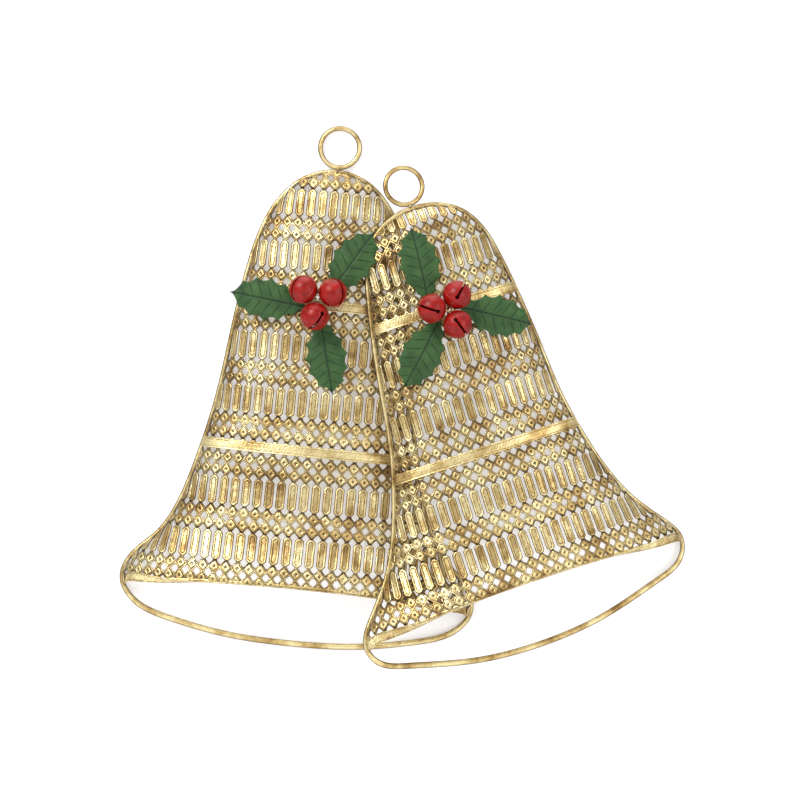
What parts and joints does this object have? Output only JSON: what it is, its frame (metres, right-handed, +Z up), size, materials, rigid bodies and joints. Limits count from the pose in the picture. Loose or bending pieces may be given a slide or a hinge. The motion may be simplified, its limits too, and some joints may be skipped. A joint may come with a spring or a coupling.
{
  "type": "christmas bell wall ornament",
  "caption": "Two overlapping half-relief bells of pierced antique gold sheet on wire frames, each with a hanging ring and a holly sprig with red jingle bells",
  "frame": {"origin": "the centre of the left bell's hanging ring", "axes": "+Z up, +X to the right seen from the front, -Y to the front, the wall at y = 1.5 mm"},
  "size_m": [0.3578, 0.0585, 0.3386],
  "materials": {
    "gold_sheet": "antique gold, embossed",
    "gold_wire": "antique gold, worn",
    "gold_strip": "antique gold, worn",
    "green_paint": "matte green",
    "red_paint": "satin red",
    "tie_wire": "bright wire",
    "pellet_steel": "plain steel"
  },
  "bodies": {
    "frame": {"left_outline_frame": "gold_wire", "left_hanging_ring": "gold_wire", "left_ring_weld": "gold_wire", "left_dome_panel": "gold_sheet", "left_middle_panel": "gold_sheet", "left_lower_panel": "gold_sheet", "left_upper_band": "gold_strip", "left_lower_band": "gold_strip", "left_lip_strip": "gold_strip", "left_holly_leaf_1": "green_paint", "left_holly_leaf_2": "green_paint", "left_holly_leaf_3": "green_paint", "left_sprig_tie_wire": "tie_wire", "right_outline_frame": "gold_wire", "right_hanging_ring": "gold_wire", "right_ring_weld": "gold_wire", "right_dome_panel": "gold_sheet", "right_middle_panel": "gold_sheet", "right_lower_panel": "gold_sheet", "right_upper_band": "gold_strip", "right_lower_band": "gold_strip", "right_lip_strip": "gold_strip", "right_holly_leaf_1": "green_paint", "right_holly_leaf_2": "green_paint", "right_holly_leaf_3": "green_paint", "right_sprig_tie_wire": "tie_wire", "bell_joining_studs": "gold_wire"},
    "left_jingle_1": {"left_jingle_bell_1": "red_paint", "left_jingle_loop_1": "red_paint"},
    "left_pellet_1": {"left_pellet_1": "pellet_steel"},
    "left_jingle_2": {"left_jingle_bell_2": "red_paint", "left_jingle_loop_2": "red_paint"},
    "left_pellet_2": {"left_pellet_2": "pellet_steel"},
    "left_jingle_3": {"left_jingle_bell_3": "red_paint", "left_jingle_loop_3": "red_paint"},
    "left_pellet_3": {"left_pellet_3": "pellet_steel"},
    "right_jingle_1": {"right_jingle_bell_1": "red_paint", "right_jingle_loop_1": "red_paint"},
    "right_pellet_1": {"right_pellet_1": "pellet_steel"},
    "right_jingle_2": {"right_jingle_bell_2": "red_paint", "right_jingle_loop_2": "red_paint"},
    "right_pellet_2": {"right_pellet_2": "pellet_steel"},
    "right_jingle_3": {"right_jingle_bell_3": "red_paint", "right_jingle_loop_3": "red_paint"},
    "right_pellet_3": {"right_pellet_3": "pellet_steel"}
  },
  "joints": [
    {"name": "left_jingle_1_twist", "type": "hinge", "parent": "frame", "child": "left_jingle_1", "pos_m": [-0.02154, -0.03326, -0.09166], "axis": [0.6043, 0.6691, -0.4326], "range_deg": [-35, 35]},
    {"name": "left_pellet_1_roll", "type": "hinge", "parent": "left_jingle_1", "child": "left_pellet_1", "pos_m": [-0.02154, -0.03326, -0.09166], "axis": [0, 1, 0], "range_deg": [-60, 60]},
    {"name": "left_jingle_2_twist", "type": "hinge", "parent": "frame", "child": "left_jingle_2", "pos_m": [-0.00337, -0.03326, -0.0936], "axis": [-0.682, 0.6691, -0.2951], "range_deg": [-35, 35]},
    {"name": "left_pellet_2_roll", "type": "hinge", "parent": "left_jingle_2", "child": "left_pellet_2", "pos_m": [-0.00337, -0.03326, -0.0936], "axis": [0, 1, 0], "range_deg": [-60, 60]},
    {"name": "left_jingle_3_twist", "type": "hinge", "parent": "frame", "child": "left_jingle_3", "pos_m": [-0.01439, -0.03326, -0.10818], "axis": [0.0983, 0.6691, 0.7366], "range_deg": [-35, 35]},
    {"name": "left_pellet_3_roll", "type": "hinge", "parent": "left_jingle_3", "child": "left_pellet_3", "pos_m": [-0.01439, -0.03326, -0.10818], "axis": [0, 1, 0], "range_deg": [-60, 60]},
    {"name": "right_jingle_1_twist", "type": "hinge", "parent": "frame", "child": "right_jingle_1", "pos_m": [0.05737, -0.04513, -0.1039], "axis": [0.6287, 0.7711, -0.1009], "range_deg": [-35, 35]},
    {"name": "right_pellet_1_roll", "type": "hinge", "parent": "right_jingle_1", "child": "right_pellet_1", "pos_m": [0.05737, -0.04513, -0.1039], "axis": [0, 1, 0], "range_deg": [-60, 60]},
    {"name": "right_jingle_2_twist", "type": "hinge", "parent": "frame", "child": "right_jingle_2", "pos_m": [0.07286, -0.04195, -0.0955], "axis": [-0.4678, 0.5459, -0.6951], "range_deg": [-35, 35]},
    {"name": "right_pellet_2_roll", "type": "hinge", "parent": "right_jingle_2", "child": "right_pellet_2", "pos_m": [0.07286, -0.04195, -0.0955], "axis": [0, 1, 0], "range_deg": [-60, 60]},
    {"name": "right_jingle_3_twist", "type": "hinge", "parent": "frame", "child": "right_jingle_3", "pos_m": [0.07313, -0.04346, -0.11353], "axis": [-0.4864, 0.6527, 0.5809], "range_deg": [-35, 35]},
    {"name": "right_pellet_3_roll", "type": "hinge", "parent": "right_jingle_3", "child": "right_pellet_3", "pos_m": [0.07313, -0.04346, -0.11353], "axis": [0, 1, 0], "range_deg": [-60, 60]}
  ]
}
